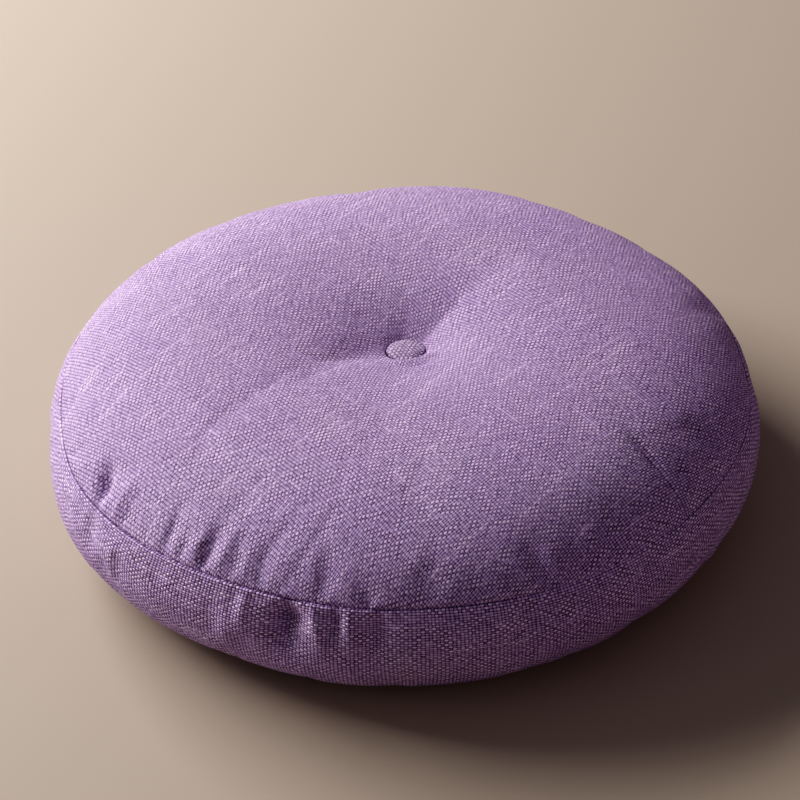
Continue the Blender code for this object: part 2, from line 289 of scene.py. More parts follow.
# How far its weave is turned from the top panel's, in degrees, and how much greyer and darker its cloth is
BUTTON_TURN, BUTTON_FADED, BUTTON_DARKER = -9, 0.12, 0.12


def ease(share):
    """A smooth step from 0 to 1 as share goes from 0 to 1."""
    share = np.clip(share, 0.0, 1.0)
    return share * share * (3 - 2 * share)


def bell(distance, width, power=2.0):
    return np.exp(-(np.abs(distance / width) ** power))


def degrees_apart(first, second):
    return (first - second + 180) % 360 - 180


def stretches(azimuth, table):
    """How much of a thing there is at an azimuth, from a table of middles, reaches and amounts."""
    return sum(amount * bell(degrees_apart(azimuth, middle), reach) for middle, reach, amount in table)


class Section:
    """The cover's smooth section from the floor contact up to the crown, by its own arc length."""

    def __init__(self, steps=2000):
        turns = np.linspace(0.0, QUARTER_TURN, steps + 1)
        rise = np.sin(turns) ** (2 / UNDERSIDE_FULLNESS)
        fall = np.cos(turns) ** (2 / UNDERSIDE_FULLNESS)
        low_radii = CONTACT_RADIUS + (RADIUS - CONTACT_RADIUS) * rise
        low_heights = WIDEST_HEIGHT * (1 - fall)
        rise = np.sin(turns[1:]) ** (2 / SHOULDER_FULLNESS)
        fall = np.clip(np.cos(turns[1:]), 0, 1) ** (2 / SHOULDER_FULLNESS)
        high_radii = CROWN_RADIUS + (RADIUS - CROWN_RADIUS) * fall
        high_heights = WIDEST_HEIGHT + (CROWN_HEIGHT - WIDEST_HEIGHT) * rise
        self.radii = np.concatenate([low_radii, high_radii])
        self.heights = np.concatenate([low_heights, high_heights])
        lengths = np.hypot(np.diff(self.radii), np.diff(self.heights))
        self.arcs = np.concatenate([[0.0], np.cumsum(lengths)])
        self.length = float(self.arcs[-1])

    def point(self, arc):
        return np.interp(arc, self.arcs, self.radii), np.interp(arc, self.arcs, self.heights)

    def outward(self, arc, reach=0.001):
        (low_radius, low), (high_radius, high) = self.point(arc - reach), self.point(arc + reach)
        length = np.hypot(high_radius - low_radius, high - low)
        return (high - low) / length, (low_radius - high_radius) / length

    def arc_at(self, height):
        return np.interp(height, self.heights, self.arcs)


SECTION = Section()


def top_seam_height(azimuth):
    turn = np.radians(azimuth)
    return TOP_SEAM_HEIGHT - TOP_SEAM_WAVE * np.cos(2 * turn) - TOP_SEAM_TILT * np.cos(turn)


def fold_offset(azimuth, past_seam, strength):
    """How far the folds push the cover out, at a distance past the top seam."""
    offset = np.zeros(np.broadcast(azimuth, past_seam).shape)
    for fold in FOLDS:
        along = fold.side * past_seam
        share = along / fold.end
        centre = fold.azimuth + fold.lean * share
        across = np.radians(degrees_apart(azimuth, centre)) * RADIUS
        to_peak = ease(along / fold.peak)
        rise = FOLD_START + (1 - FOLD_START) * to_peak
        fall = 1 - ease((along - fold.peak) / (fold.end - fold.peak))
        width = fold.width * (FOLD_NARROW + (1 - FOLD_NARROW) * to_peak + FOLD_SPREAD * ease(share))
        profile = bell(across, width, FOLD_ROUNDNESS)
        offset -= np.where((along >= 0) & (share < 1), fold.depth * rise * fall * profile, 0.0)
    return offset * strength


def plan_offset(azimuth, radius):
    bulge = sum(
        wave.bulge * np.cos(np.radians(wave.count * (azimuth - wave.peak))) for wave in PLAN_WAVES
    )
    return bulge * ease((radius - CONTACT_RADIUS) / (RADIUS - CONTACT_RADIUS))


def seam_offset(past_seam, draw, width):
    """The groove of a sewn seam: two rounded edges that roll into one line."""
    across = np.clip(1 - np.abs(past_seam) / width, 0.0, 1.0)
    return -draw * (1 - np.sqrt(1 - across**2))


def tuft_depth(x, y, strength):
    """How deep the button pulls the top panel down at a place, with its creases."""
    back = y - TUFT_CENTRE[1]
    distance = np.maximum(np.hypot(x - TUFT_CENTRE[0], back), SEAT_RADIUS)
    out_of_pocket = ease((distance - SEAT_RADIUS) / (POCKET_RADIUS - SEAT_RADIUS))
    depth = TUFT_DEPTH * np.maximum(1 - distance / CROWN_RADIUS, 0.0) ** TUFT_POWER
    depth += (SEAT_DROP + back * math.tan(math.radians(SEAT_TILT))) * (1 - out_of_pocket)
    bearing = np.degrees(np.arctan2(back, x - TUFT_CENTRE[0]))
    for crease in TUFT_CREASES:
        along = np.clip((distance - SEAT_RADIUS) / crease.reach, 0.0, 1.0)
        turned = degrees_apart(bearing, crease.bearing + crease.bend * along)
        fold = bell(np.radians(turned) * distance, crease.width, crease.roundness)
        swell = ease(1 - along) * (crease.start + (1 - crease.start) * ease(along / CREASE_GROWN))
        depth += strength * crease.depth * out_of_pocket * swell * fold
    lip = bell(degrees_apart(bearing, LIP_BEARING), LIP_SPREAD)
    lip *= bell(distance - LIP_DISTANCE, LIP_WIDTH)
    depth -= strength * LIP_HEIGHT * out_of_pocket * lip
    return depth


def row_shares(near_start, near_end, length, count):
    """Places from 0 to length: close rows near either end, and count even steps between them."""
    start = [0.0, *near_start]
    end = [length - step for step in reversed(near_end)] + [length]
    middle = np.linspace(start[-1], end[0], count + 1)[1:-1]
    return np.array([*start, *middle, *end]) / length


class CoverGrid:
    """The rows and columns of the cover, from the middle of the bottom up and in to the button's seat."""

    def __init__(self, columns, fine=True):
        near = SEAM_ROWS if fine else COARSE_SEAM_ROWS
        thin = 1 if fine else COARSE_THINNING
        turn = np.arange(columns) * 360 / columns - 180
        crowd = np.degrees(COLUMN_CROWDING * np.sin(np.radians(turn - GATHERED_AZIMUTH)))
        self.azimuth = turn - crowd
        seam = SECTION.arc_at(top_seam_height(self.azimuth))[None, :]
        low = float(SECTION.arc_at(BOTTOM_SEAM_HEIGHT))
        self.panels, arcs, radii = [], [], []

        def add(panel, arc, radius):
            self.panels.extend([panel] * len(arc))
            arcs.append(arc)
            radii.append(radius)

        def inside(values):
            return np.repeat(np.array(values)[:, None], columns, axis=1)

        flat = CONTACT_RADIUS * np.linspace(0, 1, FLAT_ROWS if fine else COARSE_FLAT_ROWS)[1:-1]
        add(BOTTOM, inside([0.0] * len(flat)), inside(flat))
        under = low * row_shares((), near, low, BOTTOM_ROWS // thin)
        add(BOTTOM, inside(under), inside([-1.0] * len(under)))
        shares = row_shares(near, near, BAND_LENGTH, BAND_ROWS // thin)[1:, None]
        band = low + (seam - low) * shares
        add(BAND, band, np.full(band.shape, -1.0))
        shares = row_shares(near, (), SHOULDER_LENGTH, SHOULDER_ROWS // thin)[1:, None]
        shoulder = seam + (SECTION.length - seam) * shares
        add(TOP, shoulder, np.full(shoulder.shape, -1.0))
        cone = np.linspace(CROWN_RADIUS, POCKET_ROWS[0], DIMPLE_ROWS // thin + 1)[1:]
        pocket = POCKET_ROWS[1::thin]
        inner = [*cone, *pocket, SEAT_RADIUS / 2]
        add(TOP, inside([SECTION.length] * len(inner)), inside(inner))
        self.arcs = np.concatenate(arcs)
        self.radii = np.concatenate(radii)
        self.past_seam = self.arcs - seam
        self.past_low = self.arcs - low
        past_crown = np.where(self.radii > 0, CROWN_RADIUS - self.radii, 0) * (self.arcs > 0)
        on_floor = np.where((self.radii > 0) & (self.arcs <= 0), self.radii - CONTACT_RADIUS, 0)
        self.stations = (self.arcs + past_crown + on_floor).mean(axis=1)

    def points(self, sizes, fine=True, plain=False):
        """Every point of the cover as an array of rows, columns and axes; plain leaves out all folds."""
        azimuth = np.broadcast_to(self.azimuth[None, :], self.arcs.shape)
        on_section = self.radii < 0
        radius, height = SECTION.point(self.arcs)
        out, up = SECTION.outward(np.clip(self.arcs, SLOPE_INSET, SECTION.length - SLOPE_INSET))
        push = np.zeros(self.arcs.shape)
        if not plain:
            push += fold_offset(azimuth, self.past_seam, sizes.fold_strength)
        if fine and not plain:
            depth, width = sizes.seam_depth, sizes.seam_width
            flat = stretches(azimuth, SEAM_FLATS)
            push += seam_offset(self.past_seam, depth, width) * (1 - flat)
            push += seam_offset(self.past_low, depth / 2, width)
            proud = np.minimum(stretches(azimuth, SEAM_LIPS), 1.0)
            lip = bell(self.past_seam + width * SEAM_LIP_PLACE, width * SEAM_LIP_REACH)
            push += sizes.seam_lip * proud * lip
        push = np.where(on_section & (self.arcs > 0), push, 0.0)
        radius = np.where(on_section, radius + out * push + plan_offset(azimuth, radius), self.radii)
        height = np.where(on_section, height + up * push, np.where(self.arcs > 0, CROWN_HEIGHT, 0.0))
        lean = 1 - ease(radius / TUFT_SHIFT_REACH)
        x = radius * np.cos(np.radians(azimuth)) + TUFT_CENTRE[0] * lean
        y = radius * np.sin(np.radians(azimuth)) + TUFT_CENTRE[1] * lean
        depth = tuft_depth(x, y, 0.0 if plain else sizes.crease_strength)
        height = height - np.where(height > WIDEST_HEIGHT, depth, 0)
        points = np.stack([x, y, height], axis=2)
        middle = (points.max(axis=(0, 1)) + points.min(axis=(0, 1))) / 2
        points[:, :, :2] -= middle[:2]
        return points


def put_in_scene(name, data):
    """Puts an object with this data into the scene."""
    made = bpy.data.objects.new(name, data)
    bpy.context.scene.collection.objects.link(made)
    return made


def vertex_values(mesh, name):
    """The places or the normals of a mesh's vertices, as one row each."""
    values = np.empty(len(mesh.vertices) * 3)
    mesh.vertices.foreach_get(name, values)
    return values.reshape(-1, 3)


def grid_faces(rows, columns):
    """Corner indices of a grid that is closed round its columns and by a pole at each end."""
    row = np.arange(rows - 1)[:, None] * columns
    column = np.arange(columns)[None, :]
    beside = (column + 1) % columns
    quads = np.stack([row + column, row + beside, row + columns + beside, row + columns + column], 2)
    bottom, top = rows * columns, rows * columns + 1
    last = (rows - 1) * columns
    fans = [(bottom, (c + 1) % columns, c) for c in range(columns)]
    fans += [(last + c, last + (c + 1) % columns, top) for c in range(columns)]
    return quads.reshape(-1, 4), fans


def grid_mesh(name, points):
    rows, columns, _ = points.shape
    quads, fans = grid_faces(rows, columns)
    poles = [points[0].mean(axis=0), points[-1].mean(axis=0)]
    places = np.concatenate([points.reshape(-1, 3), poles])
    mesh = bpy.data.meshes.new(name)
    mesh.from_pydata(places.tolist(), [], quads.tolist() + fans)
    mesh.shade_smooth()
    return mesh


def smooth_rows(new, old, values):
    """Reads a table of rows at new places, along smooth curves through its old ones."""
    slopes = np.gradient(values, old, axis=0)
    low = np.clip(np.searchsorted(old, new, side="right") - 1, 0, len(old) - 2)
    gap = (old[low + 1] - old[low])[:, None]
    share = ((new - old[low])[:, None] / gap).clip(0, 1)
    squared, cubed = share**2, share**3
    return (
        (2 * cubed - 3 * squared + 1) * values[low]
        + (cubed - 2 * squared + share) * gap * slopes[low]
        + (3 * squared - 2 * cubed) * values[low + 1]
        + (cubed - squared) * gap * slopes[low + 1]
    )


def finer_columns(values, columns):
    """Reads a table that is closed round its columns at more columns, by its waves."""
    waves = np.fft.rfft(values, axis=1)
    padded = np.zeros((values.shape[0], columns // 2 + 1), complex)
    padded[:, : waves.shape[1]] = waves
    return np.fft.irfft(padded, columns, axis=1) * columns / values.shape[1]


def puckered(sizes):
    """Blows up a coarse cover as cloth with some to spare, and returns how far out each point went."""
    grid = CoverGrid(COARSE_COLUMNS, fine=False)
    start = grid.points(sizes, fine=False)
    pad = put_in_scene("filling", grid_mesh("filling", start))
    held = pad.vertex_groups.new(name="held")
    count = start.shape[0] * COARSE_COLUMNS
    sewn = np.maximum(bell(grid.past_seam, SEWN_REACH), bell(grid.past_low, SEWN_REACH))
    tied = (grid.arcs <= 0) | ((grid.radii > 0) & (grid.radii < TIED_RADIUS))
    for index, weight in enumerate(np.where(tied, 1.0, sewn).ravel()):
        if weight > 0.01:
            held.add([index], float(weight), "REPLACE")
    held.add([count, count + 1], 1.0, "REPLACE")
    normals = vertex_values(pad.data, "normal")[:count].reshape(start.shape)
    cloth = pad.modifiers.new("cloth", "CLOTH")
    cloth.settings.quality = 6
    cloth.settings.mass = 0.3
    cloth.settings.tension_stiffness = cloth.settings.compression_stiffness = 15
    cloth.settings.shear_stiffness = 5
    cloth.settings.bending_stiffness = 0.5
    cloth.settings.use_pressure = True
    cloth.settings.uniform_pressure_force = sizes.filling_pressure
    cloth.settings.shrink_min = -sizes.spare_cloth
    cloth.settings.vertex_group_mass = "held"
    cloth.settings.effector_weights.gravity = 0
    cloth.collision_settings.use_collision = False
    cloth.point_cache.frame_start, cloth.point_cache.frame_end = 1, FILLING_FRAMES
    for step in range(1, FILLING_FRAMES + 1):
        bpy.context.scene.frame_set(step)
    blown = pad.evaluated_get(bpy.context.evaluated_depsgraph_get())
    moved = vertex_values(blown.data, "co")[:count].reshape(start.shape) - start
    bpy.data.objects.remove(pad)
    bpy.context.scene.frame_set(1)
    return grid, (moved * normals).sum(axis=2)


def natural_puckers(sizes):
    """The small uneven puckers of spare cloth, as a table of rows and of the fine cover's columns."""
    grid, pushed = puckered(sizes)
    waves = np.fft.rfft(pushed, axis=1)
    waves[:, :SLOW_WAVES] = 0
    pushed = np.fft.irfft(waves, pushed.shape[1], axis=1)
    pushed = (np.roll(pushed, 1, axis=1) + 2 * pushed + np.roll(pushed, -1, axis=1)) / 4
    cap = sizes.pucker_cap
    pushed = cap * np.tanh(pushed / cap)
    # the button holds the cloth round it tight
    from_button = np.where((grid.radii > 0) & (grid.arcs > 0), grid.radii, CROWN_RADIUS)
    pushed *= ease((from_button - TIGHT_RADIUS) / TIGHT_FADE)
    return grid.stations, finer_columns(pushed, sizes.columns)


def pucker(mesh, grid, sizes):
    """Lays the puckers on the fine cover along its normals, and keeps it above the floor."""
    push = smooth_rows(grid.stations, *natural_puckers(sizes))
    places, normals = vertex_values(mesh, "co"), vertex_values(mesh, "normal")
    places[: push.size] += normals[: push.size] * push.reshape(-1, 1)
    places[:, 2] = np.maximum(places[:, 2], 0.0)
    mesh.vertices.foreach_set("co", places.ravel())
    mesh.update()


def yarn_wander(across, along, seed):
    """How far the yarns stray from straight at a place on a panel, in metres."""
    chance = np.random.default_rng(seed)
    stray = np.zeros(across.shape)
    for wavelength, reach in STRAY_WAVES:
        height = reach / math.sqrt(STRAY_GROUP / 2)
        for _ in range(STRAY_GROUP):
            turn, phase = chance.uniform(0, math.tau, 2)
            step = chance.uniform(*STRAY_SHARES) * math.tau / wavelength
            way = across * math.cos(turn) + along * math.sin(turn)
            stray += height * np.sin(step * way + phase)
    return stray


def panel_yarns(grid, points):
    """Where the two families of yarns pass every point, as each panel's own pair of tables.

    The first of a pair counts the warp, which crosses the band, and the second the weft, which runs
    along the seam. Both are in metres.
    """
    steps = np.linalg.norm(np.diff(points, axis=0), axis=2)
    from_button = np.zeros(points.shape[:2])
    from_button[:-1] = np.cumsum(steps[::-1], axis=0)[::-1]
    from_button += SEAT_RADIUS / 2
    turn = np.radians(grid.azimuth)[None, :]
    x, y = from_button * np.cos(turn), from_button * np.sin(turn)
    top = [x * np.cos(way) + y * np.sin(way) for way in np.radians(COUNTED_ALONG)]
    band = [np.broadcast_to(RADIUS * turn, x.shape).copy(), grid.past_seam.copy()]
    bottom = [points[:, :, 0].copy(), points[:, :, 1].copy()]
    pairs = {}
    for seed, (panel, (warp, weft)) in enumerate({TOP: top, BAND: band, BOTTOM: bottom}.items()):
        # the band closes round the cushion, so its yarns stray by the bearing and not by the distance
        where = STRAY_RING * np.cos(warp / RADIUS) if panel == BAND else warp
        strays = [yarn_wander(where, weft, seed * 2 + k) for k in (0, 1)]
        pairs[panel] = np.stack([warp + strays[0], weft + strays[1]], axis=2)
    return pairs


def lay_yarns(mesh, grid, pairs):
    """Writes the yarns' places to the cover's UV map, panel by panel."""
    rows, columns = grid.arcs.shape
    panel_of_row = np.array([{BOTTOM: 0, BAND: 1, TOP: 2}[panel] for panel in grid.panels])
    table = np.stack([pairs[BOTTOM], pairs[BAND], pairs[TOP]])
    face_row = np.repeat(np.arange(rows - 1), columns)
    face_column = np.tile(np.arange(columns), rows - 1)
    panel = panel_of_row[face_row + 1]
    beside = (face_column + 1) % columns
    corners = []
    for row, column in ((0, False), (0, True), (1, True), (1, False)):
        place = table[panel, face_row + row, beside if column else face_column].copy()
        if column:
            wrapped = (panel == 1) & (beside == 0)
            place[wrapped, 0] += math.tau * RADIUS
        corners.append(place)
    quads = np.stack(corners, axis=1).reshape(-1, 2)
    middle = [table[0, 0].mean(axis=0), table[2, -1].mean(axis=0)]
    fans = []
    for c in range(columns):
        fans += [middle[0], table[0, 0, (c + 1) % columns], table[0, 0, c]]
    for c in range(columns):
        fans += [table[2, -1, c], table[2, -1, (c + 1) % columns], middle[1]]
    layer = mesh.uv_layers.new(name="yarns")
    layer.uv.foreach_set("vector", np.concatenate([quads, np.array(fans)]).ravel())


class Wiring:
    """Adds nodes to one tree, each with its inputs given as sockets to link or as plain values."""

    def __init__(self, tree):
        self.tree = tree

    def node(self, kind, inputs=(), **settings):
        made = self.tree.nodes.new(kind)
        for name, value in settings.items():
            setattr(made, name, value)
        pairs = inputs.items() if isinstance(inputs, dict) else enumerate(inputs)
        for key, value in pairs:
            if isinstance(value, bpy.types.NodeSocket):
                self.tree.links.new(value, made.inputs[key])
            elif value is not None:
                made.inputs[key].default_value = value
        return made

    def math(self, operation, *values):
        return self.node("ShaderNodeMath", values, operation=operation).outputs[0]

    def eased(self, value, low, high, bottom=0.0, top=1.0, kind="SMOOTHSTEP"):
        inputs = {"Value": value, "From Min": low, "From Max": high, "To Min": bottom, "To Max": top}
        return self.node("ShaderNodeMapRange", inputs, interpolation_type=kind).outputs[0]

    def place(self):
        """Where a geometry tree's own points are, as three sockets."""
        position = self.node("GeometryNodeInputPosition").outputs[0]
        return self.node("ShaderNodeSeparateXYZ", (position,)).outputs

    def join(self, x, y=0.0, z=0.0):
        return self.node("ShaderNodeCombineXYZ", (x, y, z)).outputs[0]

    def noise(self, place, scale=1.0, detail=1.0, roughness=0.5):
        inputs = {"Vector": place, "Scale": scale, "Detail": detail, "Roughness": roughness}
        return self.node("ShaderNodeTexNoise", inputs).outputs["Fac"]

    def mixed(self, share, first, second):
        """A mix of two colours, which this node keeps at inputs 6 and 7 and at output 2."""
        return self.node("ShaderNodeMix", {0: share, 6: first, 7: second}, data_type="RGBA").outputs[2]


def weave_group(name):
    """A plain weave, from counts of its two families of yarns, neither of which runs even."""
    group = bpy.data.node_groups.new(name, "ShaderNodeTree")
    group.interface.new_socket("Counts", in_out="INPUT", socket_type="NodeSocketVector")
    for output in ("Height", "Weft", "Lightness"):
        group.interface.new_socket(output, in_out="OUTPUT", socket_type="NodeSocketFloat")
    wiring = Wiring(group)
    math_ = wiring.math
    counts = wiring.node("NodeGroupInput").outputs[0]
    straight = wiring.node("ShaderNodeSeparateXYZ", (counts,)).outputs[:2]
    places = []
    for own in (WARP, WEFT):
        across = math_("MULTIPLY", straight[own], CROWDING_ACROSS)
        along = math_("MULTIPLY", straight[1 - own], CROWDING_ALONG)
        crowd = wiring.noise(wiring.join(across, along, CROWDING_SLICE + own), detail=0.0)
        places.append(math_("MULTIPLY_ADD", math_("SUBTRACT", crowd, 0.5), CROWDING, straight[own]))
    numbers = [math_("FLOOR", place) for place in places]
    within = [math_("SUBTRACT", math_("FRACT", place), 0.5) for place in places]
    odd = math_("FLOORED_MODULO", math_("ADD", *numbers), 2.0)
    weft_over = math_("MULTIPLY_ADD", odd, 2.0, -1.0)
    balance = wiring.noise(counts, BALANCE_RATE, 1.0)
    heights, tones = [], []
    bridged = 1.0
    for own, yarn in enumerate(YARNS):
        along = places[1 - own]
        number = math_("MULTIPLY_ADD", numbers[own], YARN_STEP, FAMILY_STEP * own)
        body, stray, run = (
            wiring.noise(wiring.join(number, math_("MULTIPLY", along, rate), part), detail=0.0)
            for rate, part in ((yarn.unevenness, 0.0), (STRAY_RATE, STRAY_SLICE), (SLUB_RATE, SLUB_SLICE))
        )
        slub = wiring.eased(run, *yarn.slubs)
        width = wiring.eased(body, *BODY_RANGE, yarn.thin, yarn.thick, "LINEAR")
        width = math_("MULTIPLY_ADD", slub, SLUB_THICKER, width)
        aside = math_("MULTIPLY_ADD", math_("SUBTRACT", stray, 0.5), yarn.stray, within[own])
        across = math_("DIVIDE", math_("MULTIPLY", aside, 2.0), width)
        bulge = math_("SUBTRACT", 1.0, math_("POWER", across, 2.0))
        round_ = math_("SQRT", math_("MAXIMUM", bulge, 0.0))
        bend = math_("MULTIPLY", math_("COSINE", math_("MULTIPLY", within[1 - own], math.pi)), weft_over)
        lift = math_("MULTIPLY_ADD", math_("SUBTRACT", balance, 0.5), yarn.drift, yarn.rest)
        lift = math_("MULTIPLY_ADD", slub, SLUB_HIGHER, lift)
        height = math_("MULTIPLY", round_, math_("MULTIPLY_ADD", bend, yarn.sway, lift))
        heights.append(math_("MULTIPLY", height, bridged))
        bridged = math_("MULTIPLY_ADD", round_, SAG, 1 - SAG)
        tone = wiring.eased(body, *TONE_RANGE, -0.5, 0.5, "LINEAR")
        tones.append(math_("MULTIPLY_ADD", slub, SLUB_PALER, math_("MULTIPLY", tone, YARN_SPREAD)))
    ahead = math_("SUBTRACT", heights[WEFT], heights[WARP])
    weft = wiring.eased(ahead, -HIDING_HEIGHT, HIDING_HEIGHT)
    # a crossing stands out by as much as the crossings beside it fall back
    slack = 0.0
    for sign, *step in ((0.5, 0, 0), (-0.5, 1, 0), (-0.5, 0, 1), (0.5, 1, 1)):
        here = wiring.join(*(math_("ADD", number, shift) for number, shift in zip(numbers, step)))
        chance = wiring.node("ShaderNodeTexWhiteNoise", {"Vector": here}, noise_dimensions="2D")
        slack = math_("MULTIPLY_ADD", chance.outputs["Value"], sign, slack)
    tone = wiring.node("ShaderNodeMix", (weft, None, *tones)).outputs[0]
    lightness = math_("ADD", math_("MULTIPLY_ADD", slack, CROSSING_SPREAD, tone), 0.5)
    rise = math_("MULTIPLY_ADD", slack, CROSSING_RISE, 1.0)
    height = math_("MULTIPLY", math_("MAXIMUM", *heights), rise)
    wiring.node("NodeGroupOutput", (height, weft, lightness))
    return group


def cloth_material(name, finish, faded=0.0, darker=0.0):
    """Coarse slubbed plain weave: pale raised weft over darker warp, with painted shade in the gaps
    between.
    """
    material = bpy.data.materials.new(name)
    material.use_nodes = True
    tree = material.node_tree
    wiring = Wiring(tree)
    surface = tree.nodes["Principled BSDF"]
    yarns = wiring.node("ShaderNodeUVMap", uv_map="yarns").outputs[0]
    per_metre = (1 / finish.warp_pitch, 1 / finish.weft_pitch, 1.0)
    counts = wiring.node("ShaderNodeVectorMath", (yarns, per_metre), operation="MULTIPLY").outputs[0]
    weave = wiring.node("ShaderNodeGroup", node_tree=weave_group(name + "_weave"))
    tree.links.new(counts, weave.inputs[0])
    height, weft, lightness = weave.outputs[:3]
    fibres = wiring.noise(yarns, FIBRE_RATE, 2.0, 0.6)
    fibre_tone = wiring.math("SUBTRACT", fibres, 0.5)
    lightness = wiring.math("MULTIPLY_ADD", fibre_tone, FIBRE_SPREAD, lightness)
    tones = []
    for dark, light in ((finish.warp_dark, finish.warp_light), (finish.weft_dark, finish.weft_light)):
        tones.append(wiring.mixed(lightness, (*dark, 1.0), (*light, 1.0)))
    # the weft's colour where it lies on top and the warp's where it does; the warp's darker tone is partly
    # its own and partly painted shade
    yarn = wiring.mixed(weft, *tones)
    # painted shade: where the weave lies low, between and under the yarns, the colour darkens to the gap
    # colour
    colour = wiring.mixed(wiring.eased(height, *GAP_SHADE_RANGE), (*finish.gap, 1.0), yarn)
    place = wiring.node("ShaderNodeTexCoord").outputs["Object"]
    mottle = wiring.eased(wiring.noise(place, MOTTLE_RATE, 3.0, 0.55), 0.3, 0.7, -1.0, 1.0, "LINEAR")
    colour = wiring.node("ShaderNodeHueSaturation", {
        "Saturation": wiring.math("MULTIPLY_ADD", mottle, -MOTTLE_SATURATION, 1.0 - faded),
        "Value": wiring.math("MULTIPLY_ADD", mottle, MOTTLE_VALUE, 1.0 - darker),
        "Color": colour,
    }).outputs[0]
    tree.links.new(colour, surface.inputs["Base Color"])
    relief = wiring.math("MULTIPLY_ADD", fibres, FIBRE_RISE, height)
    bump = wiring.node("ShaderNodeBump", {"Strength": 1.0, "Distance": finish.relief, "Height": relief})
    tree.links.new(bump.outputs[0], surface.inputs["Normal"])
    surface.inputs["Roughness"].default_value = CLOTH_ROUGHNESS
    surface.inputs["Specular IOR Level"].default_value = 0.0
    return material


def length_value(name, description, default, low=0.0):
    return FloatProperty(name=name, description=description, default=default, min=low, unit="LENGTH")


def share_value(name, description, default, high):
    return FloatProperty(
        name=name, description=description, default=default, min=0.0, max=high, subtype="FACTOR"
    )


def colour_value(name, description, default):
    return FloatVectorProperty(
        name=name, description=description, default=default, size=3, min=0.0, max=1.0, subtype="COLOR"
    )


def power_value(name, description, watts):
    return FloatProperty(name=name, description=description, default=watts, min=0.0, unit="POWER")


def angle_value(name, description, degrees):
    return FloatProperty(
        name=name, description=description, default=math.radians(degrees), subtype="ANGLE"
    )


class CoverSizes(bpy.types.PropertyGroup):
    fold_strength: share_value("Folds", "How deep the gathers at the top seam are", 1.0, 2.0)
    crease_strength: share_value("Tuft creases", "How deep the creases round the button are", 1.0, 2.0)
    seam_depth: length_value("Seam depth", "How deep the sewn seam draws the cover in", 0.0021)
    seam_width: length_value("Seam width", "How far either side of the seam rolls into it", 0.0026, 0.0005)
    seam_lip: length_value("Seam lip", "How far the band stands proud under the seam", 0.0006)
    filling_pressure: FloatProperty(
        name="Filling", description="How hard the filling presses the cover out", default=4.0, min=0.0
    )
    spare_cloth: share_value("Spare cloth", "Share of the cloth that its shape doesn't need", 0.012, 0.1)
    pucker_cap: length_value("Pucker height", "The most that a small pucker rises or sinks", 0.0010, 0.0001)
    columns: IntProperty(
        name="Columns", description="How many columns go round the cover", default=508, min=96
    )


class ClothFinish(bpy.types.PropertyGroup):
    weft_light: colour_value("Pale weft", "The weft at its palest", (0.92, 0.715, 0.99))
    weft_dark: colour_value("Dark weft", "The weft at its darkest", (0.585, 0.425, 0.735))
    # the warp's darker tone is partly the yarns' own two tones and partly painted shade for the warp lying
    # lower than the weft
    warp_light: colour_value("Pale warp", "The warp at its palest", (0.61, 0.435, 0.77))
    warp_dark: colour_value("Dark warp", "The warp at its darkest", (0.335, 0.225, 0.45))
    # painted shade: the gap colour stands for the shade in the recesses between the yarns
    gap: colour_value("Gaps", "The colour between the yarns", (0.080, 0.044, 0.118))
    warp_pitch: length_value("Warp pitch", "Distance from one warp yarn to the next", 0.00235, 0.0002)
    weft_pitch: length_value("Weft pitch", "Distance from one weft yarn to the next", 0.00153, 0.0002)
    relief: length_value("Relief", "How high the yarns stand", 0.00068)


class StageLook(bpy.types.PropertyGroup):
    floor: colour_value("Floor", "The floor's colour", (0.40, 0.33, 0.27))
    key: power_value("Key light", "Power of the key light", 106.0)
    key_azimuth: angle_value("Key azimuth", "Where the key light comes from", 143)
    key_elevation: angle_value("Key elevation", "How high the key light is", 31)
    low: power_value("Low light", "Power of the light near the floor", 6.6)
    low_azimuth: angle_value("Low azimuth", "Where the low light comes from", -176)
    low_elevation: angle_value("Low elevation", "How high the low light is", 6)
    side: power_value("Side light", "Power of the light from the shaded side", 2.1)
    side_azimuth: angle_value("Side azimuth", "Where the side light comes from", -32)
    side_elevation: angle_value("Side elevation", "How high the side light is", 22)
    fill: FloatProperty(
        name="Fill light", description="Strength of the light from all round", default=0.13, min=0.0
    )


class CUSHION_OT_cover(bpy.types.Operator):
    """Sew the filled cover in place of the frame's plain one"""

    bl_idname = "cushion.cover"
    bl_label = "Cover"

    def execute(self, context):
        sizes, finish = context.scene.cushion_cover, context.scene.cushion_cloth
        grid = CoverGrid(sizes.columns)
        mesh = grid_mesh("filled_cover", grid.points(sizes))
        pucker(mesh, grid, sizes)
        lay_yarns(mesh, grid, panel_yarns(grid, grid.points(sizes, plain=True)))
        mesh.materials.append(cloth_material("slubbed_lavender_cloth", finish))
        cover = put_in_scene("filled_cover", mesh)
        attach(cover, "root")
        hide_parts("cushion")
        return {"FINISHED"}


